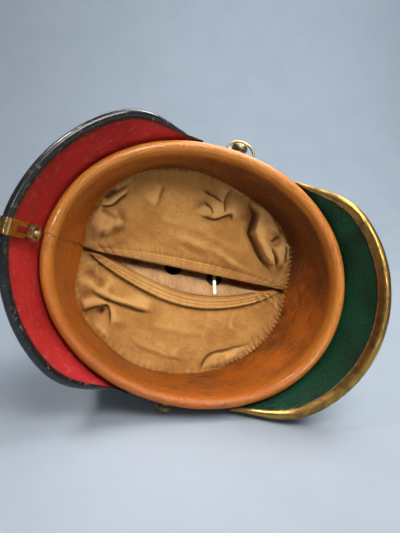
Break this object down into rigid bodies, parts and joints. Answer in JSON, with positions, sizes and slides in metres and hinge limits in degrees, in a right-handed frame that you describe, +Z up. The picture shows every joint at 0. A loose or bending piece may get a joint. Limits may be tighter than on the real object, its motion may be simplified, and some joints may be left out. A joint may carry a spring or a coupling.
{
  "type": "spiked leather helmet",
  "caption": "Leather spiked helmet lying on its left side, hollow towards -Y, with peaks before and behind, rolled sweatband, cloth lining and brass fittings.",
  "frame": {"origin": "middle of the bounding box on the floor the helmet lies on", "axes": "+X along the floor towards the side of the front peak, +Y along the floor from the hollow's mouth towards the spike, +Z up from the floor"},
  "size_m": [0.2428, 0.232, 0.2009],
  "materials": {
    "shell_leather": "black lacquer outside, bare tan inside",
    "green_leather": "pebbled dark green paint",
    "red_leather": "scuffed red paint",
    "black_edging": "glossy black, worn at the edge",
    "brass": "tarnished, rubbed bright on the edges",
    "old_brass": "dull olive patina",
    "washer_leather": "dark, dull",
    "tan_leather": "smooth orange tan, scuffed darker inside",
    "lining_cotton": "plain weave, gathered"
  },
  "bodies": {
    "root": {"shell": "shell_leather", "front_visor": "green_leather", "front_trim": "brass", "rear_visor": "red_leather", "rear_edging": "black_edging", "rear_spine": "brass", "spine_nut": "old_brass", "spine_screw": "old_brass", "sweatband": "tan_leather", "liner_left": "lining_cotton", "liner_right": "lining_cotton", "spike_base": "brass", "spike": "brass", "base_stud_front": "brass", "base_stud_rear_left": "brass", "base_stud_rear_right": "brass", "stud_washer_front": "washer_leather", "stud_washer_rear_left": "washer_leather", "stud_washer_rear_right": "washer_leather", "side_post_left": "old_brass", "side_post_right": "old_brass", "side_ring_left": "old_brass", "side_ring_right": "old_brass"}
  },
  "joints": []
}
